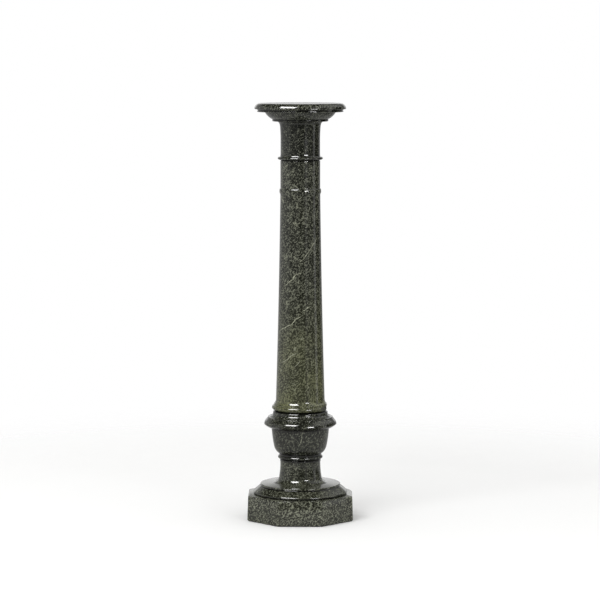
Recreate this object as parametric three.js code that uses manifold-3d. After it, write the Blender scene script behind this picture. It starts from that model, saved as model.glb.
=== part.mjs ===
// Turned marble pedestal column: an octagonal plinth, a round moulded foot, a bowl-shaped
// member with a collar, a tapering shaft, a short capital and a round moulded top.
// Millimetres, +Z up, origin at the middle of the plinth's underside, front towards -Y.
// The pieces stand on each other on flat beds, so each has its own closed solid.

import * as THREE from "three";
import { mergeVertices } from "three/addons/utils/BufferGeometryUtils.js";
import Module from "manifold-3d";

const wasm = await Module();
wasm.setup();

// Heights of the beds, from the floor up. JOINT is the gap left in each bed.
const JOINT = 0.3;
const PLINTH_TOP = 63;
const FOOT_TOP = 150.4;
const BOWL_TOP = 272.4;
const SHAFT_TOP = 898.3;
const CAPITAL_TOP = 994.8;
const COLUMN_TOP = 1040;

// Plinth: a regular octagon with a flat to the front. Its sides lean in a little towards the
// top, and its lower edge is worn round.
const PLINTH_ACROSS_FLATS = 264;
const PLINTH_LEAN = 2;
const PLINTH_TOP_EASE = 2.5;
const PLINTH_FOOT_EASE = 5.5;

// A chip out of the plinth's top edge, at its corner on the right towards the back.
const CHIP_PLACE = [128.2, 55.2, 64];
const CHIP_SIZE = [7, 6, 4];
const CHIP_TURN = 0.3;

// Foot: a bold round on the plinth, a stepped disc on it, and a neck that flares into the disc.
const FOOT_ROUND_R = 117.6;
const FOOT_BED_R = 112.5;
const DISC_R = 99.9;
const DISC_BOTTOM = 83.4;
const DISC_TOP = 88.4;
const FOOT_NECK_R = 50.2;
const FOOT_NECK_LOW_R = 53;

// Bowl: a ring at its foot, the bowl itself, and an overhanging collar with a step on it.
const RING_BED_R = 51;
const RING_R = 56;
const BOWL_LOW_R = 52.6;
const BOWL_BELLY_R = 65.8;
const BOWL_LIP_R = 72;
const COLLAR_R = 90.6;
const COLLAR_STEP_R = 81.5;
const COLLAR_SEAT_R = 68.4;

// Shaft: two rolls at its foot, a long curved taper, and a bead near its top.
const SHAFT_BED_R = 66.3;
const SHAFT_FOOT_R = 61.1;
const SHAFT_NECK_R = 49.7;
const SHAFT_CAP_R = 49.4;
const TAPER_BOTTOM = 299.3;
const TAPER_TOP = 812;
const TAPER_MIDDLE_R = 54.25;
const LOWER_ROLL_R = 71.1;
const UPPER_ROLL_R = 66.3;
const BEAD_R = 51.8;

// The lower roll is broken away on the right. Each bite is [degrees from the right towards
// the back, radius left standing, height of its middle].
const ROLL_BITES = [[-18, 64.6, 280], [2, 63.8, 278.6], [22, 64.4, 279.6]];
const BITE_SIZE = [10, 38, 12.5];

// Capital: a ring at its foot and a neck that flares under the top.
const CAPITAL_BED_R = 51;
const CAPITAL_RING_R = 56.2;
const CAPITAL_NECK_R = 49;
const CAPITAL_FLARE_R = 55.5;

// Top: a cushion moulding that widens upwards, under a round-edged disc.
const CUSHION_LOW_R = 69.6;
const CUSHION_R = 88.2;
const SLAB_BOTTOM = 1018.6;
const SLAB_R = 113.5;
const SLAB_FILLET_R = 107.1;
const SLAB_WIDEST = 1026.8;
const SLAB_FLAT_R = 101;

// How finely round things are cut into facets.
const AROUND = 40;
const FACET = 5;
const FEWEST_STEPS = 2;
const MOST_STEPS = 4;
const TAPER_STEPS = 4;

function stepsBetween([r0, z0], [r1, z1]) {
  const wanted = Math.round(Math.hypot(r1 - r0, z1 - z0) / FACET);
  return THREE.MathUtils.clamp(wanted, FEWEST_STEPS, MOST_STEPS);
}

// A quarter of an ellipse between two profile points. It leaves the first one upright or level.
function quarter([r0, z0], [r1, z1], leaves) {
  const points = [];
  const steps = stepsBetween([r0, z0], [r1, z1]);
  const rising = leaves === "upright";
  for (let i = 0; i <= steps; i++) {
    const turn = (Math.PI / 2) * (i / steps);
    const along = rising ? 1 - Math.cos(turn) : Math.sin(turn);
    const up = rising ? Math.sin(turn) : 1 - Math.cos(turn);
    points.push([r0 + (r1 - r0) * along, z0 + (z1 - z0) * up]);
  }
  return points;
}

// A shallow curve between two profile points. A positive belly swells away from the axis
// when the profile runs upwards, and a negative one hollows it.
function bow([r0, z0], [r1, z1], belly) {
  const middle = new THREE.Vector2(
    (r0 + r1) / 2 + (z1 - z0) * belly * 2,
    (z0 + z1) / 2 - (r1 - r0) * belly * 2,
  );
  const start = new THREE.Vector2(r0, z0);
  const end = new THREE.Vector2(r1, z1);
  const curve = new THREE.QuadraticBezierCurve(start, middle, end);
  const points = curve.getPoints(stepsBetween([r0, z0], [r1, z1]));
  return points.map((point) => [point.x, point.y]);
}

// The shaft's taper: nearly straight at its top and spreading more towards its foot.
function taper() {
  const points = [];
  const spread = 2 * (SHAFT_FOOT_R + SHAFT_NECK_R - 2 * TAPER_MIDDLE_R);
  const slope = SHAFT_FOOT_R - SHAFT_NECK_R - spread;
  for (let i = 0; i <= TAPER_STEPS; i++) {
    const down = 1 - i / TAPER_STEPS;
    const radius = SHAFT_NECK_R + slope * down + spread * down * down;
    points.push([radius, TAPER_TOP + (TAPER_BOTTOM - TAPER_TOP) * down]);
  }
  return points;
}

// Strokes joined end to end, without the points that two strokes share.
function outline(...strokes) {
  const points = [];
  for (const [radius, height] of strokes.flat()) {
    const last = points.at(-1);
    if (!last || Math.hypot(radius - last.x, height - last.y) > 0.01) {
      points.push(new THREE.Vector2(radius, height));
    }
  }
  return points;
}

// A closed profile, run from the axis round to the axis, turned about +Z.
function turned(points, sides = AROUND, start = 0) {
  const geometry = new THREE.LatheGeometry(points, sides, start);
  geometry.rotateX(Math.PI / 2);
  return geometry;
}

function solidOf(geometry) {
  const bare = geometry.clone();
  bare.deleteAttribute("normal");
  bare.deleteAttribute("uv");
  const merged = mergeVertices(bare, 1e-4);
  const places = merged.attributes.position.array;
  const corners = [];
  const index = merged.index.array;
  for (let i = 0; i < index.length; i += 3) {
    const [a, b, c] = [index[i], index[i + 1], index[i + 2]];
    if (a !== b && b !== c && c !== a) {
      corners.push(a, b, c);
    }
  }
  return new wasm.Manifold(new wasm.Mesh({
    numProp: 3,
    vertProperties: new Float32Array(places),
    triVerts: new Uint32Array(corners),
  }));
}

function geometryOf(solid) {
  const mesh = solid.getMesh();
  const geometry = new THREE.BufferGeometry();
  geometry.setAttribute("position", new THREE.BufferAttribute(mesh.vertProperties, 3));
  geometry.setIndex(new THREE.BufferAttribute(mesh.triVerts, 1));
  geometry.computeVertexNormals();
  return geometry;
}

// A break in the stone: a flattened lump with flat faces taken out of the piece.
function chipped(geometry, place, size, turn) {
  const lump = new THREE.IcosahedronGeometry(1, 1);
  lump.scale(...size);
  lump.rotateZ(turn);
  lump.translate(...place);
  return geometryOf(solidOf(geometry).subtract(solidOf(lump)));
}

function plinth() {
  const flatToCorner = 1 / Math.cos(Math.PI / 8);
  const low = PLINTH_ACROSS_FLATS / 2;
  const high = low - PLINTH_LEAN;
  const profile = outline(
    [[0, 0]],
    quarter([low - PLINTH_FOOT_EASE, 0], [low, PLINTH_FOOT_EASE], "level"),
    quarter([high, PLINTH_TOP - PLINTH_TOP_EASE], [high - PLINTH_TOP_EASE, PLINTH_TOP], "upright"),
    [[0, PLINTH_TOP]],
  );
  profile.forEach((point) => { point.x *= flatToCorner; });
  return chipped(turned(profile, 8, Math.PI / 8), CHIP_PLACE, CHIP_SIZE, CHIP_TURN);
}

function foot() {
  const bed = PLINTH_TOP + JOINT;
  return turned(outline(
    [[0, bed]],
    quarter([FOOT_BED_R, bed], [FOOT_ROUND_R, bed + 4.2], "level"),
    bow([FOOT_ROUND_R, bed + 4.7], [DISC_R + 0.8, DISC_BOTTOM], 0.08),
    [[DISC_R, DISC_BOTTOM + 0.8]],
    quarter([DISC_R, DISC_TOP - 1.8], [DISC_R - 1.8, DISC_TOP], "upright"),
    quarter([70, DISC_TOP + 2.2], [FOOT_NECK_LOW_R, 108], "level"),
    bow([FOOT_NECK_LOW_R, 108], [FOOT_NECK_R, 138], -0.02),
    [[FOOT_NECK_R, 143], [FOOT_NECK_R + 0.8, 144.5], [FOOT_NECK_R + 0.8, FOOT_TOP]],
    [[0, FOOT_TOP]],
  ));
}

function bowl() {
  const bed = FOOT_TOP + JOINT;
  return turned(outline(
    [[0, bed], [RING_BED_R, bed]],
    quarter([RING_BED_R + 0.6, bed + 1.2], [RING_R, 156], "level"),
    quarter([RING_R, 156], [BOWL_LOW_R, 161], "upright"),
    bow([BOWL_LOW_R, 164], [BOWL_BELLY_R, 182.6], 0.1),
    bow([BOWL_BELLY_R, 182.6], [BOWL_LIP_R, 228.6], 0.02),
    bow([BOWL_LIP_R + 0.8, 229], [COLLAR_R - 1.5, 237.6], 0.065),
    bow([COLLAR_R, 239], [COLLAR_STEP_R + 0.6, 254.4], 0.08),
    [[COLLAR_STEP_R, 254.5], [COLLAR_STEP_R, 258], [COLLAR_STEP_R - 1, 259]],
    quarter([COLLAR_STEP_R - 1.5, 259], [COLLAR_SEAT_R, 266.5], "level"),
    quarter([COLLAR_SEAT_R, 269], [COLLAR_SEAT_R - 2.4, BOWL_TOP], "upright"),
    [[0, BOWL_TOP]],
  ));
}

function shaft() {
  const bed = BOWL_TOP + JOINT;
  const whole = turned(outline(
    [[0, bed]],
    bow([SHAFT_BED_R, bed], [LOWER_ROLL_R, 279.3], 0.06),
    quarter([LOWER_ROLL_R, 280.3], [UPPER_ROLL_R, 286.5], "upright"),
    [[UPPER_ROLL_R, 289.8], [UPPER_ROLL_R - 0.9, 291.2]],
    taper(),
    quarter([SHAFT_NECK_R + 0.5, 816.2], [BEAD_R, 821.5], "level"),
    quarter([BEAD_R, 822.5], [SHAFT_CAP_R + 0.6, 829], "upright"),
    [[SHAFT_CAP_R, 829.5], [SHAFT_CAP_R, SHAFT_TOP], [0, SHAFT_TOP]],
  ));
  return ROLL_BITES.reduce((stone, [degrees, left, height]) => {
    const turn = THREE.MathUtils.degToRad(degrees);
    const reach = left + BITE_SIZE[0];
    const place = [reach * Math.cos(turn), reach * Math.sin(turn), height];
    return chipped(stone, place, BITE_SIZE, turn);
  }, whole);
}

function capital() {
  const bed = SHAFT_TOP + JOINT;
  return turned(outline(
    [[0, bed], [CAPITAL_BED_R, bed]],
    quarter([CAPITAL_BED_R + 0.6, bed + 1.7], [CAPITAL_RING_R, 904], "level"),
    quarter([CAPITAL_RING_R, 904], [CAPITAL_NECK_R + 3, 907.6], "upright"),
    quarter([CAPITAL_NECK_R + 2.4, 907.6], [CAPITAL_NECK_R, 914], "level"),
    bow([CAPITAL_NECK_R, 945], [CAPITAL_NECK_R + 1, 977], -0.01),
    quarter([CAPITAL_NECK_R + 1, 977], [CAPITAL_FLARE_R, 993.3], "upright"),
    [[CAPITAL_FLARE_R, CAPITAL_TOP], [0, CAPITAL_TOP]],
  ));
}

function top() {
  const bed = CAPITAL_TOP + JOINT;
  return turned(outline(
    [[0, bed]],
    quarter([CUSHION_LOW_R - 2, bed], [CUSHION_LOW_R, bed + 2], "level"),
    [[CUSHION_LOW_R, 1001]],
    bow([CUSHION_LOW_R + 1.7, 1001.2], [CUSHION_R, 1018], 0.07),
    [[CUSHION_R, SLAB_BOTTOM]],
    quarter([SLAB_FILLET_R - 1.5, SLAB_BOTTOM], [SLAB_FILLET_R, SLAB_BOTTOM + 1.5], "level"),
    [[SLAB_FILLET_R, SLAB_WIDEST - 1.6]],
    quarter([SLAB_R - 2.8, SLAB_WIDEST - 1.6], [SLAB_R, SLAB_WIDEST], "level"),
    quarter([SLAB_R, SLAB_WIDEST], [SLAB_FLAT_R, COLUMN_TOP], "upright"),
    [[0, COLUMN_TOP]],
  ));
}

// Polished dark green marble. The blocks differ a little in how green and how pale they are.
function piece(name, geometry, colour) {
  const stone = new THREE.MeshStandardMaterial({ color: colour, roughness: 0.12, metalness: 0 });
  const mesh = new THREE.Mesh(geometry, stone);
  mesh.name = name;
  return mesh;
}

const column = new THREE.Group();
column.add(
  piece("plinth", plinth(), 0x4c4e45),
  piece("foot", foot(), 0x3f403b),
  piece("bowl", bowl(), 0x3d3e3a),
  piece("shaft", shaft(), 0x45483c),
  piece("capital", capital(), 0x343632),
  piece("top", top(), 0x3c3d39),
);

export default column;
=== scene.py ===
"""A turned pedestal column of polished green serpentine marble, on a pale studio floor.

Six blocks stand bed on bed: an octagonal plinth, a moulded foot, a bowl with a collar, a
tapering shaft, a capital and a round top. Each is spun or cut around its packed solid.
Profiles are in millimetres from the column's axis and from the floor.
"""

import math
from typing import NamedTuple

import bmesh
import bpy
from bpy.props import FloatProperty, FloatVectorProperty, IntProperty, PointerProperty
from mathutils import Matrix, Vector, noise


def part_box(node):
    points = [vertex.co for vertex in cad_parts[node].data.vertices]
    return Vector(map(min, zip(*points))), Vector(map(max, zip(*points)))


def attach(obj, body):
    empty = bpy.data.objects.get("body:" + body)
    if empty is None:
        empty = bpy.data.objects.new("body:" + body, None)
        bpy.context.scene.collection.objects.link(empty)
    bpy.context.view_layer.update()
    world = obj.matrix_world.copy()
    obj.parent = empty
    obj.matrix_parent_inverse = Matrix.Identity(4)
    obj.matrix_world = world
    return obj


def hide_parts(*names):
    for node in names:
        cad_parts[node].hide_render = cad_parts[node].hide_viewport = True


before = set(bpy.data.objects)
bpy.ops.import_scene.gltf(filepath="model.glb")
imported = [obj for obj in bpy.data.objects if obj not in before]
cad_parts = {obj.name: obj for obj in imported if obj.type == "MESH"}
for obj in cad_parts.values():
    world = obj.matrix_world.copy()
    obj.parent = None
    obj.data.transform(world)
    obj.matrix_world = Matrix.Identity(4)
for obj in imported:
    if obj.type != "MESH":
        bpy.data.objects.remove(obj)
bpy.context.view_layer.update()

bl_info = {
    "name": "Marble pedestal column",
    "version": (1, 0, 0),
    "blender": (4, 5, 0),
    "location": "3D View > Sidebar > Column",
    "description": "Models a turned marble pedestal column and a plain studio around it",
    "category": "Add Mesh",
}

MM = 0.001


def half_width(node):
    """Half the width of a packed solid, in millimetres."""
    low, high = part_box(node)
    return (high.x - low.x) / 2 / MM


def bed(node):
    """The height of a packed solid's underside, in millimetres."""
    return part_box(node)[0].z / MM


def head(node):
    """The height of a packed solid's top, in millimetres."""
    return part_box(node)[1].z / MM


def in_mm(*lengths):
    """Blender's lengths, which are in metres, as millimetres."""
    return (length / MM for length in lengths)


def linear(hex_colour):
    """An sRGB hex colour as linear red, green and blue."""
    parts = [int(hex_colour[i:i + 2], 16) / 255 for i in (1, 3, 5)]
    return [c / 12.92 if c <= 0.04045 else ((c + 0.055) / 1.055) ** 2.4 for c in parts]


# Sizes, colours and lights that a user would change

def length(name, description, millimetres):
    return FloatProperty(name=name, description=description, default=millimetres * MM,
                         min=0.0, unit="LENGTH", precision=4)


def colour(name, description, hex_colour):
    return FloatVectorProperty(name=name, description=description, subtype="COLOR", size=3,
                               min=0.0, max=1.0, default=linear(hex_colour))


def watts(name, description, default):
    return FloatProperty(name=name, description=description, default=default, min=0.0,
                         unit="POWER")


class PlinthSizes(bpy.types.PropertyGroup):
    """The octagonal block that the column stands on"""
    half_flats: length("Half width", "From the axis to a flat, at the floor", half_width("plinth"))
    batter: length("Batter", "How far each flat leans in by the top", 2.0)
    corner: length("Corner easing", "Rounding of the eight upright corners", 2.6)
    top_ease: length("Top easing", "Rounding of the top edge", 2.4)
    foot_ease: length("Foot easing", "Rounding of the worn lower edge", 5.5)
    chip: length("Chip", "How far the broken corner reaches along the top edges", 7.5)


class FootSizes(bpy.types.PropertyGroup):
    """The round moulded foot"""
    round_radius: length("Round", "Radius of the bold round on the plinth", half_width("foot"))
    disc_radius: length("Disc", "Radius of the stepped disc", 99.9)
    neck_radius: length("Neck", "Radius of the neck at its slimmest", 50.2)


class BowlSizes(bpy.types.PropertyGroup):
    """The bowl-shaped block with its ring and its collar"""
    ring_radius: length("Ring", "Radius of the ring under the bowl", 56.0)
    belly_radius: length("Belly", "Radius where the bowl turns upright", 65.8)
    lip_radius: length("Lip", "Radius of the bowl under its collar", 72.0)
    collar_radius: length("Collar", "Radius of the overhanging collar", half_width("bowl"))
    step_radius: length("Step", "Radius of the step on the collar", 81.5)
    seat_radius: length("Seat", "Radius of the seat that carries the shaft", 68.4)


class ShaftSizes(bpy.types.PropertyGroup):
    """The tapering shaft with two rolls at its foot and a bead near its top"""
    foot_radius: length("Foot", "Radius just above the rolls", 61.1)
    middle_radius: length("Middle", "Radius half way up the taper", 54.25)
    neck_radius: length("Neck", "Radius under the bead", 49.7)
    cap_radius: length("Cap", "Radius above the bead", 49.4)
    lower_roll_radius: length("Lower roll", "Radius of the lower roll", 71.1)
    upper_roll_radius: length("Upper roll", "Radius of the upper roll", 66.3)
    bead_radius: length("Bead", "Radius of the bead", 51.8)


class CapitalSizes(bpy.types.PropertyGroup):
    """The short capital with a ring at its foot"""
    ring_radius: length("Ring", "Radius of the ring", half_width("capital"))
    neck_radius: length("Neck", "Radius of the neck", 49.0)
    flare_radius: length("Flare", "Radius under the top", 55.5)


class TopSizes(bpy.types.PropertyGroup):
    """The round moulded top"""
    slab_radius: length("Slab", "Radius of the round-edged slab", half_width("top"))
    fillet_radius: length("Fillet", "Radius of the flat band under the slab's edge", 107.1)
    cushion_radius: length("Cushion", "Widest radius of the cushion moulding", 88.2)
    cushion_low_radius: length("Cushion foot", "Radius of the band under the cushion", 69.6)


class TurningSettings(bpy.types.PropertyGroup):
    """How finely the turned blocks are made"""
    round_steps: IntProperty(name="Steps around", default=192, min=24,
                             description="Faces in a full turn. The shaft has twice as many")


class StoneColours(bpy.types.PropertyGroup):
    """What the marble is coloured with"""
    ground: colour("Ground", "Near-black green groundmass", "#0f110c")
    grain: colour("Grain", "Dark olive grain", "#2c2d27")
    fleck: colour("Flecks", "Grey-green flecks", "#747669")
    olive: colour("Olive", "Yellow-green flecks", "#757753")
    vein: colour("Veins", "Thin pale veins", "#b4b69f")
    fracture: colour("Fracture", "Dull stone where a piece has broken away", "#33342f")
    # dark colour for dirt in the joints, and for painted shade in the joints, hollows and under
    # overhangs
    dirt_and_shade: colour("Dirt and painted shade", "Dirt in the joints, and painted shade in the joints, hollows and under overhangs", "#060605")


class StudioSettings(bpy.types.PropertyGroup):
    """The plain studio around the column"""
    paper: colour("Paper", "Plain pale floor", "#f4f4f3")
    paper_bounce: colour("Paper bounce", "What the floor gives back to the stone", "#b0b0ae")
    key_light: watts("Key light", "Power of the large left softbox", 94.0)
    key_glint: watts("Key glint", "Power of the left softbox as the polish mirrors it", 425.0)
    fill_light: watts("Fill light", "Power of the small right softbox", 16.0)
    fill_glint: watts("Fill glint", "Power of the right softbox as the polish mirrors it", 52.0)
    ambient: FloatProperty(name="Ambient", description="Strength of the light from all round",
                           default=0.87, min=0.0)


GROUPS = {
    "column_plinth": PlinthSizes,
    "column_foot": FootSizes,
    "column_bowl": BowlSizes,
    "column_shaft": ShaftSizes,
    "column_capital": CapitalSizes,
    "column_top": TopSizes,
    "column_turning": TurningSettings,
    "column_stone": StoneColours,
    "column_studio": StudioSettings,
}


# Profiles

# How far apart the points of a curve lie, and how near an arris a point holds the shading, mm
CURVE_STEP, HOLD = 1.2, 1.0
# A corner that turns by more than this is an arris. It is eased by this much, mm
ARRIS_TURN, ARRIS_EASE = math.radians(28), 0.45


def steps_between(a, b):
    """How many steps a curve from a to b is drawn in."""
    return max(4, round(math.dist(a, b) / CURVE_STEP))


def quarter(a, b, leaves):
    """A quarter of an ellipse from a to b that leaves a upright or level."""
    steps = steps_between(a, b)
    points = []
    for i in range(steps + 1):
        turn = math.pi / 2 * i / steps
        rise, run = math.sin(turn), 1 - math.cos(turn)
        if leaves == "level":
            rise, run = run, rise
        points.append((a[0] + (b[0] - a[0]) * run, a[1] + (b[1] - a[1]) * rise))
    return points


def bow(a, b, belly):
    """A shallow curve from a to b. Going up, a positive belly swells and a negative one hollows."""
    middle = ((a[0] + b[0]) / 2 + (b[1] - a[1]) * belly * 2,
              (a[1] + b[1]) / 2 - (b[0] - a[0]) * belly * 2)
    steps = steps_between(a, b)
    points = []
    for i in range(steps + 1):
        t = i / steps
        weights = (1 - t) ** 2, 2 * t * (1 - t), t * t
        points.append(tuple(sum(w * p[k] for w, p in zip(weights, (a, middle, b)))
                            for k in (0, 1)))
    return points


def joined(*strokes):
    """Strokes end to end, without the points that two strokes share."""
    points = []
    for point in (p for stroke in strokes for p in stroke):
        if not points or math.dist(point, points[-1]) > 0.01:
            points.append(point)
    return points


def turn_at(before, here, after):
    """By what angle an outline turns at a point."""
    first = math.atan2(here[1] - before[1], here[0] - before[0])
    second = math.atan2(after[1] - here[1], after[0] - here[0])
    return abs((second - first + math.pi) % math.tau - math.pi)


def held(points):
    """The outline with a point close to each arris on its long sides, to hold the shading."""
    out = [points[0]]
    for a, b in zip(points, points[1:]):
        run = math.dist(a, b)
        if run > 3 * HOLD:
            for share in (HOLD / run, 1 - HOLD / run):
                out.append(tuple(a[k] + (b[k] - a[k]) * share for k in (0, 1)))
        out.append(b)
    return out


# Meshes

def finish_mesh(bm, name):
    """A finished object from a bmesh, with smooth faces and sharp creases."""
    bmesh.ops.recalc_face_normals(bm, faces=bm.faces)
    for face in bm.faces:
        face.smooth = True
    for edge in bm.edges:
        if edge.is_manifold and edge.calc_face_angle() > ARRIS_TURN:
            edge.smooth = False
    mesh = bpy.data.meshes.new(name)
    bm.to_mesh(mesh)
    bm.free()
    piece = bpy.data.objects.new(name, mesh)
    bpy.context.scene.collection.objects.link(piece)
    return piece


def spun(outline, steps):
    """A bmesh of an outline with eased arrises, spun about the column's axis."""
    points = held(outline)
    bm = bmesh.new()
    verts = [bm.verts.new((r * MM, 0, z * MM)) for r, z in points]
    for a, b in zip(verts, verts[1:]):
        bm.edges.new((a, b))
    arrises = [verts[i] for i in range(1, len(points) - 1)
               if turn_at(*points[i - 1:i + 2]) > ARRIS_TURN]
    bmesh.ops.bevel(bm, geom=arrises, offset=ARRIS_EASE * MM, offset_type="OFFSET", segments=3,
                    profile=0.5, affect="VERTICES", material=-1, clamp_overlap=True)
    bmesh.ops.spin(bm, geom=bm.verts[:] + bm.edges[:], cent=(0, 0, 0), axis=(0, 0, 1),
                   dvec=(0, 0, 0), angle=math.tau, steps=steps, use_merge=True)
    bmesh.ops.remove_doubles(bm, verts=bm.verts, dist=0.01 * MM)
    return bm


# The lower roll has broken away in three bites, each with the shape of half an egg:
# degrees from the right towards the back, the radius that is left, and the height, mm
ROLL_BITES = ((-24, 64.4, 280), (-4, 63.6, 278.6), (20, 64.4, 279.6))
BITE_DEPTH, BITE_LENGTH, BITE_HEIGHT = 10, 38, 12.5
# The fracture's coarse and fine grain, how rough it is, and how soon its edge turns dull, mm
COARSE_GRAIN, FINE_GRAIN = 5.5, 5.5 / 3
BREAK_ROUGHNESS, FINE_SHARE = 0.9, 0.4
DULL_FROM = 0.5


def bitten_radius(place, bite):
    """The radius at which a level line from the axis towards place enters a bite, or None where
    it misses the bite."""
    degrees, left, height = bite
    across = (place.z / MM - height) / BITE_HEIGHT
    angle = math.atan2(place.y, place.x) - math.radians(degrees)
    towards, beside = math.cos(angle) / BITE_DEPTH, math.sin(angle) / BITE_LENGTH
    reach = (left + BITE_DEPTH) / BITE_DEPTH
    a = towards ** 2 + beside ** 2
    b = -2 * towards * reach
    c = reach ** 2 + across ** 2 - 1
    inside = b * b - 4 * a * c
    if inside <= 0 or towards <= 0:
        return None
    return (-b - math.sqrt(inside)) / (2 * a)


def break_roll(bm):
    """Moves the stone in to a rough fracture where the roll has broken away."""
    broken = bm.verts.layers.float.new("broken")
    lowest = (min(bite[2] for bite in ROLL_BITES) - BITE_HEIGHT) * MM
    highest = (max(bite[2] for bite in ROLL_BITES) + BITE_HEIGHT) * MM
    for vert in bm.verts:
        if not lowest < vert.co.z < highest:
            continue
        radius = vert.co.xy.length / MM
        entries = [bitten_radius(vert.co, bite) for bite in ROLL_BITES]
        entries = [entry for entry in entries if entry and entry < radius]
        if not entries:
            continue
        coarse = noise.noise(vert.co / (COARSE_GRAIN * MM))
        fine = noise.noise(vert.co / (FINE_GRAIN * MM))
        depth = radius - min(entries)
        rough = BREAK_ROUGHNESS * (coarse + FINE_SHARE * fine) * min(1, depth)
        vert.co.xy *= min(radius, min(entries) + rough) / radius
        vert[broken] = min(1, depth / DULL_FROM)


def dress(piece, node, material):
    """Sets a finished piece in the frame in place of its packed solid."""
    piece.data.materials.append(material)
    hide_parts(node)
    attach(piece, "root")


# Stone

def add(tree, kind, feeds=None, out=0, **settings):
    """Adds a shader node with its settings, feeds its inputs with sockets or plain values, and
    gives back one of its outputs."""
    node = tree.nodes.new("ShaderNode" + kind)
    for name, value in settings.items():
        setattr(node, name, value)
    for name, value in (feeds or {}).items():
        if isinstance(value, bpy.types.NodeSocket):
            tree.links.new(value, node.inputs[name])
        else:
            node.inputs[name].default_value = value
    return node.outputs[out]


# The sockets of a Mix node that takes colours
MIX_A, MIX_B, MIX_RESULT = 6, 7, 2


class Vein(NamedTuple):
    """A pale vein between two places on the surface, mm."""
    start: tuple
    end: tuple
    thickness: float


class Look(NamedTuple):
    """How one block of the marble differs from the next.

    seed is where the block was cut from the stone, mm. cover is how much of it the flecks take,
    tone how bright it is, and flecks how far they stand out. olive is the height where the
    yellow-green starts and the height where it ends, mm, with its share at each. threads is how
    plain the hair-thin threads are. The dirt and shade field lists heights and how far each dark
    band reaches, mm:
    dirt in the joints, and painted shade in the joints, hollows and under overhangs."""
    seed: tuple
    cover: float
    tone: float
    olive: tuple
    threads: float = 0.0
    dirt_and_shade: tuple = ()
    veins: tuple = ()
    flecks: float = 1.0


def vein_line(tree, place, wander, vein):
    """How far a place lies in a vein, a thin sheet of mineral that runs out at both ends."""
    start, end = Vector(vein.start), Vector(vein.end)
    middle = (start + end) / 2
    normal = (end - start).cross((middle.x, middle.y, 0)).normalized()
    reach = (end - start).length / 2
    offset = add(tree, "VectorMath", {0: place, 1: middle}, operation="SUBTRACT")
    aside = add(tree, "VectorMath", {0: offset, 1: normal}, "Value", operation="DOT_PRODUCT")
    aside = add(tree, "Math", {0: aside, 1: wander}, operation="ADD")
    aside = add(tree, "Math", {0: aside}, operation="ABSOLUTE")
    away = add(tree, "VectorMath", {0: offset}, "Value", operation="LENGTH")
    line = add(tree, "MapRange", {"Value": aside, "From Min": vein.thickness, "From Max": 0.0},
               interpolation_type="SMOOTHSTEP")
    ends = add(tree, "MapRange", {"Value": away, "From Min": reach * 1.15,
                                  "From Max": reach * 0.75})
    return add(tree, "Math", {0: line, 1: ends}, operation="MULTIPLY")


# Sizes in the stone, mm: what a fleck, a speck, a blotch, a cloud and a thread measure
FLECK, SPECK, BLOTCH, CLOUD, THREAD = 3.7, 1.8, 15.0, 55.0, 48.0
# The grains lie a little drawn out along a slant that rises to the right
SLANT, DRAWN_OUT = math.radians(-45), 1.35
# How dark the green ground is beside the green flecks
DEEP_OLIVE = 0.37
# How much of the colour of dirt and painted shade covers the stone, and of the fracture's dust the
# broken stone
DIRT_AND_SHADE_COVER, DUST_COVER = 0.85, 0.75
# Marble's refraction, and the roughness of its polish and of a fracture
MARBLE_IOR = 1.56
POLISHED, FRACTURED = 0.1, 0.65


def speckle(tree, height, grained, look):
    """The body of the stone, and the two noises that the lines in it follow. Grey flecks crowd
    the dark ground, and turn yellow-green over some heights and from place to place."""
    stone = bpy.context.scene.column_stone
    flecks = add(tree, "TexNoise", {"Vector": grained, "Scale": 1 / FLECK, "Detail": 1.0,
                                    "Roughness": 0.5})
    specks = add(tree, "TexNoise", {"Vector": grained, "Scale": 1 / SPECK, "Detail": 0.0})
    blotches = add(tree, "TexNoise", {"Vector": grained, "Scale": 1 / BLOTCH, "Detail": 1.0})
    clouds = add(tree, "TexNoise", {"Vector": grained, "Scale": 1 / CLOUD, "Detail": 1.0})
    low, high, least, most = look.olive
    olive = add(tree, "MapRange", {"Value": height, "From Min": low, "From Max": high,
                                   "To Min": least, "To Max": most})
    patches = add(tree, "MapRange", {"Value": clouds, "From Min": 0.35, "From Max": 0.6,
                                     "To Min": 0.65, "To Max": 1.0})
    olive = add(tree, "Math", {0: olive, 1: patches}, operation="MULTIPLY")

    # specks, blotches and clouds thicken and thin the flecks, which lie closer where it is green
    level = flecks
    for value, share in ((specks, 0.6), (blotches, 0.2), (clouds, 0.1), (olive, 0.12)):
        level = add(tree, "Math", {0: value, 1: share, 2: level}, operation="MULTIPLY_ADD")
    start = 1.155 - look.cover * 0.3
    dim = add(tree, "MapRange", {"Value": level, "From Min": start - 0.22, "From Max": start})
    pale = add(tree, "MapRange", {"Value": level, "From Min": start - 0.04,
                                  "From Max": start + 0.16, "To Max": look.flecks})

    ground, grain, grey, green = ([*(c * look.tone for c in colour), 1] for colour in
                                  (stone.ground, stone.grain, stone.fleck, stone.olive))
    deep = [*(c * DEEP_OLIVE * look.tone for c in stone.olive), 1]
    fleck_colour = add(tree, "Mix", {0: olive, MIX_A: grey, MIX_B: green}, MIX_RESULT,
                       data_type="RGBA")
    body = add(tree, "Mix", {0: dim, MIX_A: ground, MIX_B: grain}, MIX_RESULT, data_type="RGBA")
    lifted = add(tree, "Math", {0: olive, 1: 0.75}, operation="MULTIPLY")
    body = add(tree, "Mix", {0: lifted, MIX_A: body, MIX_B: deep}, MIX_RESULT, data_type="RGBA")
    body = add(tree, "Mix", {0: pale, MIX_A: body, MIX_B: fleck_colour}, MIX_RESULT,
               data_type="RGBA")
    return body, specks, blotches


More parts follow.
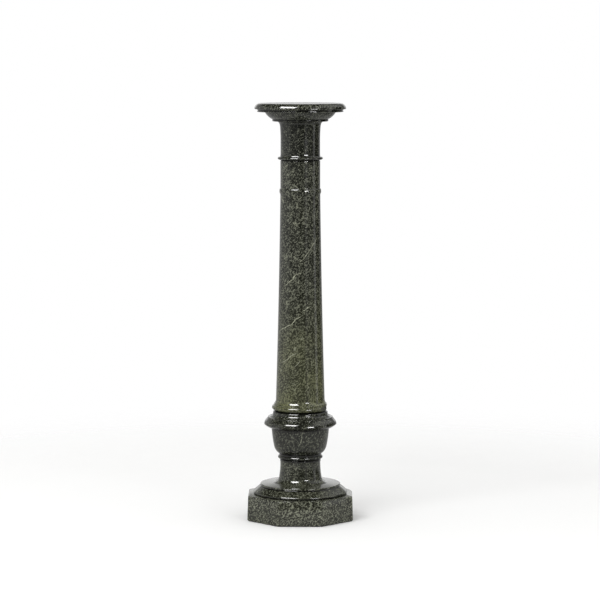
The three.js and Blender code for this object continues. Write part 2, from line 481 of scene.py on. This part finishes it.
def pale_lines(tree, place, grained, specks, blotches, look):
    """How far a place lies in a line. Hair-thin threads follow the middle value of a slow noise,
    here and there, and the veins lie where the look has them and wander with the same noise."""
    drift = add(tree, "TexNoise", {"Vector": grained, "Scale": 1 / THREAD, "Detail": 2.0})
    drift = add(tree, "Math", {0: drift, 1: 0.5}, operation="SUBTRACT")
    thread = add(tree, "Math", {0: drift}, operation="ABSOLUTE")
    thread = add(tree, "MapRange", {"Value": thread, "From Min": 0.008, "From Max": 0.0,
                                    "To Max": look.threads})
    some = add(tree, "MapRange", {"Value": blotches, "From Min": 0.5, "From Max": 0.6})
    lines = add(tree, "Math", {0: thread, 1: some}, operation="MULTIPLY")
    wander = add(tree, "Math", {0: drift, 1: 14.0, 2: -5.0}, operation="MULTIPLY_ADD")
    wander = add(tree, "Math", {0: blotches, 1: 10.0, 2: wander}, operation="MULTIPLY_ADD")
    for vein in look.veins:
        line = vein_line(tree, place, wander, vein)
        lines = add(tree, "Math", {0: lines, 1: line}, operation="MAXIMUM")
    patchy = add(tree, "MapRange", {"Value": specks, "From Min": 0.25, "From Max": 0.6,
                                    "To Min": 0.35, "To Max": 0.9})
    return add(tree, "Math", {0: lines, 1: patchy}, operation="MULTIPLY")


def dirt_and_painted_shade(tree, height, look):
    """How far a dark band covers a place near given heights: dirt in the joints, and painted shade
    in the joints, hollows and under overhangs.
    """
    dirt_and_shade_share = 0.0
    for middle, reach in look.dirt_and_shade:
        away = add(tree, "Math", {0: height, 1: middle}, operation="SUBTRACT")
        away = add(tree, "Math", {0: away}, operation="ABSOLUTE")
        here = add(tree, "MapRange", {"Value": away, "From Min": reach, "From Max": reach / 2})
        dirt_and_shade_share = add(tree, "Math", {0: dirt_and_shade_share, 1: here}, operation="MAXIMUM")
    return add(tree, "Math", {0: dirt_and_shade_share, 1: DIRT_AND_SHADE_COVER}, operation="MULTIPLY")


def marble(name, look, has_break=False):
    """Serpentine marble, sawn, turned and polished. Dense pale flecks crowd a near-black green
    ground, so it looks like dark speckled green, and the polish mirrors the studio sharply. Where
    it has broken it is dull and dusty grey, and the flecks show through."""
    stone = bpy.context.scene.column_stone
    material = bpy.data.materials.new(name)
    material.use_nodes = True
    tree = material.node_tree
    shader = tree.nodes["Principled BSDF"]
    shader.inputs["IOR"].default_value = MARBLE_IOR
    shader.inputs["Roughness"].default_value = POLISHED
    place = add(tree, "TexCoord", out="Object")
    place_mm = add(tree, "VectorMath", {0: place, "Scale": 1 / MM}, operation="SCALE")
    height = add(tree, "SeparateXYZ", {0: place_mm}, "Z")
    grained = add(tree, "Mapping", {"Vector": place_mm, "Location": look.seed,
                                    "Rotation": (0, SLANT, 0), "Scale": (DRAWN_OUT, 1, 1)},
                  vector_type="TEXTURE")
    body, specks, blotches = speckle(tree, height, grained, look)
    if look.threads or look.veins:
        lines = pale_lines(tree, place_mm, grained, specks, blotches, look)
        body = add(tree, "Mix", {0: lines, MIX_A: body, MIX_B: (*stone.vein, 1)}, MIX_RESULT,
                   data_type="RGBA")
    # dark bands at given heights: dirt in the joints, and painted shade in the joints, hollows and
    # under overhangs
    if look.dirt_and_shade:
        dirt_and_shade_share = dirt_and_painted_shade(tree, height, look)
        body = add(tree, "Mix", {0: dirt_and_shade_share, MIX_A: body, MIX_B: (*stone.dirt_and_shade, 1)}, MIX_RESULT,
                   data_type="RGBA")
    if has_break:
        broken = add(tree, "Attribute", out="Fac", attribute_name="broken")
        dusty = add(tree, "Mix", {0: DUST_COVER, MIX_A: body, MIX_B: (*stone.fracture, 1)},
                    MIX_RESULT, data_type="RGBA")
        body = add(tree, "Mix", {0: broken, MIX_A: body, MIX_B: dusty}, MIX_RESULT,
                   data_type="RGBA")
        polish = add(tree, "MapRange", {"Value": broken, "To Min": POLISHED, "To Max": FRACTURED})
        tree.links.new(polish, shader.inputs["Roughness"])
    tree.links.new(body, shader.inputs["Base Color"])
    return material


# Veins of the shaft: six where the photographed side has them, and three round the back
SHAFT_VEINS = (
    Vein((-35.7, -39.8, 590.8), (2.2, -52.8, 622.4), 1.4),
    Vein((-49.3, -26.9, 476.6), (5.9, -54.8, 518.2), 1.6),
    Vein((5.9, -54.6, 527.4), (27.0, -47.6, 536.3), 1.2),
    Vein((-45.3, -36.6, 397.3), (-9.2, -56.8, 421.1), 1.4),
    Vein((-13.1, -57.0, 388.7), (1.7, -58.1, 401.3), 1.2),
    Vein((1.7, -52.3, 649.6), (42.1, -29.1, 711.3), 1.2),
    Vein((40, 36, 430), (8, 55, 470), 1.4),
    Vein((-20, 50, 600), (-48, 20, 560), 1.2),
    Vein((53, 18, 520), (55, -12, 480), 1.2),
)
BOWL_VEINS = (Vein((10, -88, 243), (2, -70, 196), 1.0),)

# Looks of the six blocks. Their dark bands are dirt in the joints, and painted shade in the joints,
# hollows and under overhangs
PLINTH_LOOK = Look(seed=(11, 5, 3), cover=0.5, tone=1.25, olive=(0, 60, 0.15, 0.1), threads=0.3)
FOOT_LOOK = Look(seed=(31, 25, 13), cover=0.4, tone=1.15, olive=(60, 150, 0.15, 0.1),
                 threads=0.2, flecks=0.68, dirt_and_shade=((63.5, 5), (83.6, 2.2), (149.6, 5)))
BOWL_LOOK = Look(seed=(61, 45, 33), cover=0.4, tone=0.93, olive=(150, 270, 0.05, 0.05),
                 threads=0.2, flecks=0.8, dirt_and_shade=((151, 5), (163.5, 6), (231, 5), (272.5, 4)),
                 veins=BOWL_VEINS)
SHAFT_LOOK = Look(seed=(7, 77, 17), cover=0.5, tone=0.87, olive=(620, 300, 0.08, 0.8),
                  threads=0.5, dirt_and_shade=((272.5, 3.5), (898.5, 2)), veins=SHAFT_VEINS)
CAPITAL_LOOK = Look(seed=(71, 15, 83), cover=0.4, tone=0.68, olive=(900, 1000, 0.05, 0.05),
                    dirt_and_shade=((899, 3),))
TOP_LOOK = Look(seed=(41, 95, 53), cover=0.4, tone=1.0, olive=(1000, 1040, 0.05, 0.05),
                dirt_and_shade=((998.4, 2.6), (1022.4, 2)))


# The plinth's chip: how deep its planes lie for its reach, and for each plane the angle that it
# is turned from the corner, in radians, and how far it faces up
CHIP_DEPTH = 0.62
CHIP_PLANES = ((-0.25, 1.5), (0.35, 1.1))


def turn_block(outline, name, node, look):
    """Turns a block from its outline and sets it in the frame."""
    steps = bpy.context.scene.column_turning.round_steps
    piece = finish_mesh(spun(outline, steps), name)
    dress(piece, node, marble(f"Polished serpentine, {node}", look))


# Operators

class MARBLE_OT_plinth(bpy.types.Operator):
    """Cuts the octagonal plinth, wears its lower edge and chips a corner"""
    bl_idname = "marble_column.plinth"
    bl_label = "Plinth"

    def execute(self, context):
        sizes = context.scene.column_plinth
        top = head("plinth") * MM
        bm = bmesh.new()
        bmesh.ops.create_circle(bm, cap_ends=True, segments=8,
                                radius=sizes.half_flats / math.cos(math.pi / 8),
                                matrix=Matrix.Rotation(math.pi / 8, 4, "Z"))
        raised = bmesh.ops.extrude_face_region(bm, geom=bm.faces[:])
        upper = [v for v in raised["geom"] if isinstance(v, bmesh.types.BMVert)]
        leaning = 1 - sizes.batter / sizes.half_flats
        bmesh.ops.scale(bm, vec=(leaning, leaning, 1), verts=upper)
        bmesh.ops.translate(bm, vec=(0, 0, top), verts=upper)
        bmesh.ops.recalc_face_normals(bm, faces=bm.faces)
        uprights = [e for e in bm.edges if abs(e.verts[0].co.z - e.verts[1].co.z) > top / 2]
        self.ease(bm, uprights, sizes.corner, 4)
        self.ease(bm, self.lying(bm, top), sizes.top_ease, 4)
        self.ease(bm, self.lying(bm, 0), sizes.foot_ease, 6)
        self.chip(bm, sizes, top)
        piece = finish_mesh(bm, "octagonal_plinth")
        dress(piece, "plinth", marble("Polished serpentine, plinth", PLINTH_LOOK))
        return {"FINISHED"}

    def ease(self, bm, edges, amount, segments):
        """Rounds edges."""
        bmesh.ops.bevel(bm, geom=edges, offset=amount, offset_type="OFFSET", segments=segments,
                        profile=0.5, affect="EDGES", material=-1, clamp_overlap=True)

    def lying(self, bm, height):
        """The edges that lie level at a height."""
        return [e for e in bm.edges if all(abs(v.co.z - height) < 0.1 * MM for v in e.verts)]

    def chip(self, bm, sizes, top):
        """Breaks the top of the right-hand back corner away along two rough planes."""
        turn = math.pi / 8
        reach = (sizes.half_flats - sizes.batter) / math.cos(turn)
        corner = Vector((reach * math.cos(turn), reach * math.sin(turn), top))
        for aside, up in CHIP_PLANES:
            outward = Vector((math.cos(turn + aside), math.sin(turn + aside), up)).normalized()
            inside = corner - outward * sizes.chip * CHIP_DEPTH
            cut = bmesh.ops.bisect_plane(bm, geom=bm.verts[:] + bm.edges[:] + bm.faces[:],
                                         dist=0.001 * MM, plane_co=inside, plane_no=outward,
                                         clear_outer=True)
            rim = [e for e in cut["geom_cut"] if isinstance(e, bmesh.types.BMEdge)]
            bmesh.ops.contextual_create(bm, geom=rim)


class MARBLE_OT_foot(bpy.types.Operator):
    """Turns the round foot"""
    bl_idname = "marble_column.foot"
    bl_label = "Foot"

    def execute(self, context):
        sizes = context.scene.column_foot
        rim, disc, neck = in_mm(sizes.round_radius, sizes.disc_radius, sizes.neck_radius)
        low, top = bed("foot"), head("foot")
        disc_low, disc_top = low + 20.1, low + 25.1
        bold_round = joined(
            quarter((rim - 5.1, low), (rim, low + 3), "level"),
            bow((rim, low + 3), (rim - 0.8, low + 6.5), 0.12),
            bow((rim - 0.8, low + 6.5), (disc + 0.8, disc_low), 0.01),
        )
        stepped_disc = joined(
            [(disc, disc_low + 0.8)],
            quarter((disc, disc_top - 1.3), (disc - 1.3, disc_top), "upright"),
        )
        flared_neck = joined(
            quarter((70, disc_top + 1.8), (neck + 2.8, 105.9), "level"),
            bow((neck + 2.8, 105.9), (neck, 138), -0.02),
            [(neck, 143), (neck + 0.8, 144.5), (neck + 0.8, top - 1), (neck - 0.2, top)],
        )
        outline = joined([(0, low)], bold_round, stepped_disc, flared_neck, [(0, top)])
        turn_block(outline, "moulded_foot", "foot", FOOT_LOOK)
        return {"FINISHED"}


class MARBLE_OT_bowl(bpy.types.Operator):
    """Turns the bowl with its ring and collar"""
    bl_idname = "marble_column.bowl"
    bl_label = "Bowl"

    def execute(self, context):
        sizes = context.scene.column_bowl
        ring, belly, lip = in_mm(sizes.ring_radius, sizes.belly_radius, sizes.lip_radius)
        collar, step, seat = in_mm(sizes.collar_radius, sizes.step_radius, sizes.seat_radius)
        low, top = bed("bowl"), head("bowl")
        small_ring = joined(
            [(49.5, low)],
            quarter((50.5, low + 0.8), (ring, low + 4.2), "level"),
            quarter((ring, low + 4.2), (ring - 3.4, low + 9.2), "upright"),
        )
        bowl_side = joined(
            bow((ring - 3.4, 164), (belly, 182.6), 0.1),
            bow((belly, 182.6), (lip, 228.6), 0.02),
        )
        overhanging_collar = joined(
            bow((lip + 0.8, 229), (collar - 1.5, 237.6), 0.065),
            bow((collar, 239), (collar - 1.7, 245.5), 0.035),
            bow((collar - 1.8, 245.7), (collar - 3, 247.7), 0.05),
            [(step + 0.6, 254.4)],
        )
        step_and_seat = joined(
            [(step, 254.5), (step, 256.5), (step - 1, 257.5)],
            quarter((step - 1.5, 257.5), (seat, 266.5), "level"),
            quarter((seat, top - 3.6), (seat - 4, top - 0.4), "upright"),
            [(seat - 6.5, top)],
        )
        outline = joined([(0, low)], small_ring, bowl_side, overhanging_collar, step_and_seat,
                         [(0, top)])
        turn_block(outline, "collared_bowl", "bowl", BOWL_LOOK)
        return {"FINISHED"}


class MARBLE_OT_shaft(bpy.types.Operator):
    """Turns the tapering shaft and breaks its lower roll"""
    bl_idname = "marble_column.shaft"
    bl_label = "Shaft"

    def execute(self, context):
        sizes = context.scene.column_shaft
        foot, middle, neck = in_mm(sizes.foot_radius, sizes.middle_radius, sizes.neck_radius)
        lower, upper = in_mm(sizes.lower_roll_radius, sizes.upper_roll_radius)
        cap, bead = in_mm(sizes.cap_radius, sizes.bead_radius)
        low, top = bed("shaft"), head("shaft")
        taper_low, taper_top, taper_steps = 299.3, 812, 32
        rolls = joined(
            [(lower - 9.6, low)],
            bow((lower - 6, low + 1.1), (lower, low + 6.6), 0.08),
            quarter((lower, low + 7.6), (upper, low + 13.8), "upright"),
            [(upper, low + 17.1), (upper - 0.9, low + 17.9)],
            bow((upper - 0.9, low + 17.9), (foot, taper_low), -0.08),
        )
        # the taper spreads towards its foot, on a curve through its three radii
        spreading = 2 * (foot + neck - 2 * middle)
        taper = []
        for i in range(taper_steps + 1):
            down = 1 - i / taper_steps
            radius = neck + (foot - neck - spreading) * down + spreading * down * down
            taper.append((radius, taper_top + (taper_low - taper_top) * down))
        bead_and_cap = joined(
            quarter((neck + 0.5, 816.2), (bead, 821.5), "level"),
            quarter((bead, 822.5), (cap + 0.6, 829), "upright"),
            [(cap, 829.5), (cap, top - 0.8), (cap - 0.8, top)],
        )
        outline = joined([(0, low)], rolls, taper, bead_and_cap, [(0, top)])
        bm = spun(outline, context.scene.column_turning.round_steps * 2)
        break_roll(bm)
        piece = finish_mesh(bm, "tapering_shaft")
        dress(piece, "shaft", marble("Polished serpentine, shaft", SHAFT_LOOK, has_break=True))
        return {"FINISHED"}


class MARBLE_OT_capital(bpy.types.Operator):
    """Turns the capital"""
    bl_idname = "marble_column.capital"
    bl_label = "Capital"

    def execute(self, context):
        sizes = context.scene.column_capital
        ring, neck, flare = in_mm(sizes.ring_radius, sizes.neck_radius, sizes.flare_radius)
        low, top = bed("capital"), head("capital")
        foot_ring = joined(
            [(48, low)],
            quarter((49.5, low + 1.2), (ring, low + 5.4), "level"),
            quarter((ring, low + 5.4), (neck + 3, low + 9), "upright"),
        )
        flared_neck = joined(
            quarter((neck + 2.4, low + 9), (neck, low + 15.4), "level"),
            bow((neck, 945), (neck + 1, 977), -0.01),
            quarter((neck + 1, 977), (flare, top - 1.5), "upright"),
            [(flare - 1, top)],
        )
        outline = joined([(0, low)], foot_ring, flared_neck, [(0, top)])
        turn_block(outline, "capital_block", "capital", CAPITAL_LOOK)
        return {"FINISHED"}


class MARBLE_OT_top(bpy.types.Operator):
    """Turns the moulded top"""
    bl_idname = "marble_column.top"
    bl_label = "Top"

    def execute(self, context):
        sizes = context.scene.column_top
        slab, fillet = in_mm(sizes.slab_radius, sizes.fillet_radius)
        cushion, cushion_low = in_mm(sizes.cushion_radius, sizes.cushion_low_radius)
        low, top = bed("top"), head("top")
        slab_low, widest = top - 21.4, top - 13.2
        cushion_moulding = joined(
            quarter((cushion_low - 2, low), (cushion_low, low + 2), "level"),
            [(cushion_low, low + 5.9)],
            bow((cushion_low + 1.7, low + 6.1), (cushion, slab_low - 0.6), 0.07),
            [(cushion, slab_low)],
        )
        grooved_fillet = joined(
            quarter((fillet - 1.5, slab_low), (fillet, slab_low + 1.5), "level"),
            [(fillet, slab_low + 2.6), (fillet - 1.5, slab_low + 3.1),
             (fillet - 1.5, slab_low + 4.4), (fillet, slab_low + 4.9), (fillet, widest - 1.6)],
        )
        rounded_slab = joined(
            quarter((slab - 2.8, widest - 1.6), (slab, widest), "level"),
            quarter((slab, widest), (slab - 12.5, top), "upright"),
        )
        outline = joined([(0, low)], cushion_moulding, grooved_fillet, rounded_slab, [(0, top)])
        turn_block(outline, "moulded_top", "top", TOP_LOOK)
        return {"FINISHED"}


# The photographed view: where the camera stands, in metres, how it looks down and how far it
# stands round to the right, in radians, and its lens
CAMERA_DISTANCE = 6.26
CAMERA_HEIGHT = 1.19
CAMERA_PITCH = 0.1019
CAMERA_TURN = math.radians(0.4)
LENS_MM, SENSOR_MM = 151.26, 36.0
AXIS_SHIFT = -0.0005

# The floor fades away between these two distances from the axis, and ends at the radius, metres
FLOOR_RADIUS, FLOOR_FADES_AT, FLOOR_GONE_AT = 2.2, 0.75, 1.98

# Softboxes: degrees clockwise from the camera, metres from the axis and metres up, and their sizes
LEFT_PLACE, LEFT_SIZE = (-35, 3.4, 3.7), (2.8, 2.2)
RIGHT_PLACE, RIGHT_SIZE = (34.5, 3.6, 1.24), (1.2, 0.4)
SOFTBOX_AIM = Vector((0, 0, 0.5))
# How much farther out the lamp stands that gives the light and not the glint
LIGHT_BEHIND = 1.03

# How bright the polish finds the studio low down, by degrees clockwise from the camera
SURROUNDINGS = (
    (-180, 0.45), (-150, 0.5), (-64, 0.5), (-54, 0.2), (-14, 0.2), (-4, 0.06), (25, 0.06),
    (29, 0.35), (38, 0.35), (41, 0.1), (79, 0.1), (82, 0.85), (93, 0.85), (96, 0.0),
    (124, 0.0), (130, 0.2), (180, 0.45),
)


class MARBLE_OT_studio(bpy.types.Operator):
    """Lays the floor and sets the lights and the camera"""
    bl_idname = "marble_column.studio"
    bl_label = "Studio"

    def execute(self, context):
        settings = context.scene.column_studio
        self.lay_floor(settings)
        self.light_all_round(settings)
        for side, place, size, light, glint in (
                ("Left", LEFT_PLACE, LEFT_SIZE, settings.key_light, settings.key_glint),
                ("Right", RIGHT_PLACE, RIGHT_SIZE, settings.fill_light, settings.fill_glint)):
            self.softbox(f"{side} softbox", place, size, light, "light")
            self.softbox(f"{side} softbox glint", place, size, glint, "glint")
        self.set_camera()
        context.scene.view_settings.view_transform = "Standard"
        return {"FINISHED"}

    def lay_floor(self, settings):
        """A flat disc of paper that fades into the white behind it."""
        bm = bmesh.new()
        bmesh.ops.create_circle(bm, cap_ends=True, radius=FLOOR_RADIUS, segments=96)
        mesh = bpy.data.meshes.new("floor")
        bm.to_mesh(mesh)
        bm.free()
        floor = bpy.data.objects.new("floor", mesh)
        bpy.context.scene.collection.objects.link(floor)
        floor.data.materials.append(self.paper(settings))

    def paper(self, settings):
        """Matt background paper. It is overexposed to the eye, but gives little back to the
        stone, as if the light fell on the column more than on the floor around it."""
        paper = bpy.data.materials.new("Matt white background paper")
        paper.use_nodes = True
        tree = paper.node_tree
        shader = tree.nodes["Principled BSDF"]
        shader.inputs["Roughness"].default_value = 0.9
        shader.inputs["Specular IOR Level"].default_value = 0.1
        seen = add(tree, "LightPath", out="Is Camera Ray")
        shade = add(tree, "Mix", {0: seen, MIX_A: (*settings.paper_bounce, 1),
                                  MIX_B: (*settings.paper, 1)}, MIX_RESULT, data_type="RGBA")
        tree.links.new(shade, shader.inputs["Base Color"])
        place = add(tree, "TexCoord", out="Object")
        away = add(tree, "VectorMath", {0: place}, "Value", operation="LENGTH")
        edge = add(tree, "MapRange", {"Value": away, "From Min": FLOOR_FADES_AT,
                                      "From Max": FLOOR_GONE_AT},
                   interpolation_type="SMOOTHSTEP")
        gone = add(tree, "BsdfTransparent")
        surface = add(tree, "MixShader", {0: edge, 1: shader.outputs[0], 2: gone})
        tree.links.new(surface, tree.nodes["Material Output"].inputs["Surface"])
        return paper

    def light_all_round(self, settings):
        """White all round for the floor and the view, and for the polish a studio that is dark
        overhead and on the camera's side, and pale low down behind and to the left and
        high up on the right."""
        world = bpy.data.worlds.new("Studio surroundings")
        bpy.context.scene.world = world
        world.use_nodes = True
        tree = world.node_tree
        tree.nodes.remove(tree.nodes["Background"])
        # low down, as the ramp has it round the column
        facing = add(tree, "TexCoord", out="Generated")
        across = add(tree, "SeparateXYZ", {0: facing}, "X")
        behind = add(tree, "SeparateXYZ", {0: facing}, "Y")
        rise = add(tree, "SeparateXYZ", {0: facing}, "Z")
        front = add(tree, "Math", {0: behind, 1: -1.0}, operation="MULTIPLY")
        azimuth = add(tree, "Math", {0: across, 1: front}, operation="ARCTAN2")
        round_part = add(tree, "Math", {0: azimuth, 1: 1 / math.tau, 2: 0.5},
                         operation="MULTIPLY_ADD")
        around = add(tree, "ValToRGB", {"Fac": round_part})
        stops = around.node.color_ramp.elements
        stops[0].color = [SURROUNDINGS[0][1]] * 3 + [1]
        stops[1].color = [SURROUNDINGS[-1][1]] * 3 + [1]
        for degrees, bright in SURROUNDINGS[1:-1]:
            stops.new(degrees / 360 + 0.5).color = (bright, bright, bright, 1)
        low = add(tree, "MapRange", {"Value": rise, "From Min": 0.6, "From Max": 0.35})
        around = add(tree, "Math", {0: around, 1: low}, operation="MULTIPLY")
        # a pale patch straight behind
        straight = add(tree, "MapRange", {"Value": behind, "From Min": 0.84, "From Max": 0.92,
                                          "To Max": 1.15})
        above = add(tree, "MapRange", {"Value": rise, "From Min": 0.01, "From Max": 0.05})
        below = add(tree, "MapRange", {"Value": rise, "From Min": 0.3, "From Max": 0.2})
        straight = add(tree, "Math", {0: straight, 1: above}, operation="MULTIPLY")
        straight = add(tree, "Math", {0: straight, 1: below}, operation="MULTIPLY")
        mirrored = add(tree, "Math", {0: around, 1: straight}, operation="MAXIMUM")
        # and one high up on the right
        aside = add(tree, "MapRange", {"Value": across, "From Min": 0.35, "From Max": 0.6,
                                       "To Max": 0.8})
        over = add(tree, "MapRange", {"Value": rise, "From Min": 0.25, "From Max": 0.45})
        aside = add(tree, "Math", {0: aside, 1: over}, operation="MULTIPLY")
        mirrored = add(tree, "Math", {0: mirrored, 1: aside}, operation="MAXIMUM")
        # what is mirrored, what lights the stone and the floor, and what the camera sees
        polish = add(tree, "Background", {"Color": (1, 1, 1, 1), "Strength": mirrored})
        dome = add(tree, "MapRange", {"Value": rise, "From Min": -0.05, "From Max": 0.1,
                                      "To Min": 0.6, "To Max": settings.ambient})
        ambient = add(tree, "Background", {"Color": (1, 1, 1, 1), "Strength": dome})
        backdrop = add(tree, "Background", {"Color": (1, 1, 1, 1), "Strength": 1.0})
        glossy = add(tree, "LightPath", out="Is Glossy Ray")
        seen = add(tree, "LightPath", out="Is Camera Ray")
        surround = add(tree, "MixShader", {0: glossy, 1: ambient, 2: polish})
        surround = add(tree, "MixShader", {0: seen, 1: surround, 2: backdrop})
        tree.links.new(surround, tree.nodes["World Output"].inputs["Surface"])

    def softbox(self, name, place, size, watts, gives):
        """A plain softbox that faces the column. It gives either its light or its glint, and the
        one for the light stands a little behind, so that a mirrored ray meets the glint first."""
        azimuth, distance, height = place
        turn = math.radians(azimuth)
        distance *= LIGHT_BEHIND if gives == "light" else 1.0
        light = bpy.data.lights.new(name, "AREA")
        light.shape = "RECTANGLE"
        light.size, light.size_y = size
        light.energy = watts
        lamp = bpy.data.objects.new(name, light)
        lamp.location = (distance * math.sin(turn), -distance * math.cos(turn), height)
        lamp.rotation_euler = (SOFTBOX_AIM - lamp.location).to_track_quat("-Z", "Y").to_euler()
        lamp.visible_camera = False
        lamp.visible_diffuse = gives == "light"
        lamp.visible_glossy = gives == "glint"
        bpy.context.scene.collection.objects.link(lamp)

    def set_camera(self):
        """The camera at the photograph's viewing angle."""
        camera = bpy.data.cameras.new("Camera")
        camera.lens, camera.sensor_width = LENS_MM, SENSOR_MM
        camera.shift_x = AXIS_SHIFT
        camera.clip_end = 100
        holder = bpy.data.objects.new("Camera", camera)
        holder.location = (CAMERA_DISTANCE * math.sin(CAMERA_TURN),
                           -CAMERA_DISTANCE * math.cos(CAMERA_TURN), CAMERA_HEIGHT)
        holder.rotation_euler = (math.pi / 2 - CAMERA_PITCH, 0, CAMERA_TURN)
        bpy.context.scene.collection.objects.link(holder)
        bpy.context.scene.camera = holder


class MARBLE_PT_column(bpy.types.Panel):
    """Lists the blocks and their sizes"""
    bl_idname = "MARBLE_PT_column"
    bl_label = "Marble column"
    bl_space_type = "VIEW_3D"
    bl_region_type = "UI"
    bl_category = "Column"

    def draw(self, context):
        layout = self.layout
        for operator in OPERATORS:
            layout.operator(operator.bl_idname)
        for name, group in GROUPS.items():
            box = layout.box()
            box.label(text=group.__doc__)
            for setting in group.__annotations__:
                box.prop(getattr(context.scene, name), setting)


OPERATORS = (MARBLE_OT_plinth, MARBLE_OT_foot, MARBLE_OT_bowl, MARBLE_OT_shaft,
             MARBLE_OT_capital, MARBLE_OT_top, MARBLE_OT_studio)


def register():
    for made in (*GROUPS.values(), *OPERATORS, MARBLE_PT_column):
        bpy.utils.register_class(made)
    for name, group in GROUPS.items():
        setattr(bpy.types.Scene, name, PointerProperty(type=group))


def unregister():
    for name in GROUPS:
        delattr(bpy.types.Scene, name)
    for made in (MARBLE_PT_column, *reversed(OPERATORS), *reversed(GROUPS.values())):
        bpy.utils.unregister_class(made)


def main():
    register()
    bpy.ops.marble_column.studio()
    bpy.ops.marble_column.plinth()
    bpy.ops.marble_column.foot()
    bpy.ops.marble_column.bowl()
    bpy.ops.marble_column.shaft()
    bpy.ops.marble_column.capital()
    bpy.ops.marble_column.top()


if __name__ == "__main__":
    main()
